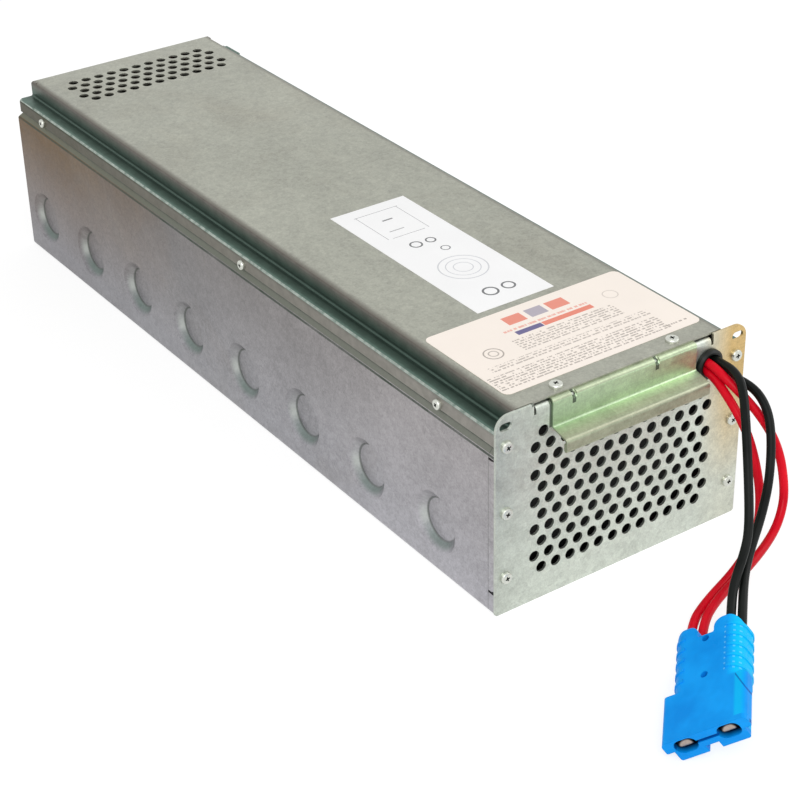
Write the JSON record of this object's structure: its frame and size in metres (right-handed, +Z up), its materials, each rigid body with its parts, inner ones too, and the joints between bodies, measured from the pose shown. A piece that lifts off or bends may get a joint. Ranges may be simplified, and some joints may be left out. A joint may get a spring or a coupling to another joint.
{
  "type": "ups battery cartridge",
  "caption": "Long sheet-steel battery cartridge with perforated front panel, rack ears, pull handle, cable grommet and red and black leads that end in a power connector.",
  "frame": {"origin": "bottom centre of the case with its handle and screw heads, leads and connector left out", "axes": "+Z up from the base, -Y towards the front panel, pull handle and leads, +Y towards the rear wall, +X to the side of the cable grommet"},
  "size_m": [0.1685, 0.6982, 0.1209],
  "materials": {
    "galvanised_steel": "galvanised sheet, satin",
    "panel_steel": "galvanised sheet, satin",
    "handle_steel": "galvanised sheet, satin",
    "screw_steel": "zinc plated",
    "nut_steel": "zinc plated",
    "black_rubber": "satin",
    "white_label": "satin",
    "cream_label": "satin",
    "battery_case": "satin",
    "red_boot": "satin",
    "black_boot": "satin",
    "black_wire": "satin",
    "red_wire": "satin",
    "foam": "closed-cell foam",
    "blue_plastic": "semi-gloss",
    "contact_metal": "silver plated",
    "spring_steel": "bright"
  },
  "bodies": {
    "root": {"base_tray": "galvanised_steel", "battery_1": "battery_case", "battery_2": "battery_case", "battery_3": "battery_case", "battery_4": "battery_case", "battery_5": "battery_case", "battery_6": "battery_case", "battery_7": "battery_case", "battery_8": "battery_case", "black_lead_1": "black_wire", "black_lead_2": "black_wire", "cable_grommet": "black_rubber", "connector_housing": "blue_plastic", "contact_springs": "spring_steel", "cover_clinch_nuts": "nut_steel", "cover_rear_screws": "screw_steel", "cover_side_screws": "screw_steel", "cover_top_screws": "screw_steel", "cream_label": "cream_label", "front_foam_strips": "foam", "front_panel": "panel_steel", "front_panel_screws": "screw_steel", "handle_clinch_nuts": "nut_steel", "inner_black_lead_1": "black_wire", "inner_black_lead_2": "black_wire", "inner_red_lead_1": "red_wire", "inner_red_lead_2": "red_wire", "long_jumper_1": "black_wire", "long_jumper_2": "black_wire", "negative_boots": "black_boot", "negative_contact": "contact_metal", "panel_clinch_nuts": "nut_steel", "positive_boots": "red_boot", "positive_contact": "contact_metal", "pull_handle": "handle_steel", "rear_foam_pad": "foam", "red_lead_1": "red_wire", "red_lead_2": "red_wire", "short_jumper_1": "black_wire", "short_jumper_2": "black_wire", "short_jumper_3": "black_wire", "short_jumper_4": "black_wire", "top_cover": "galvanised_steel", "white_label": "white_label"}
  },
  "joints": []
}
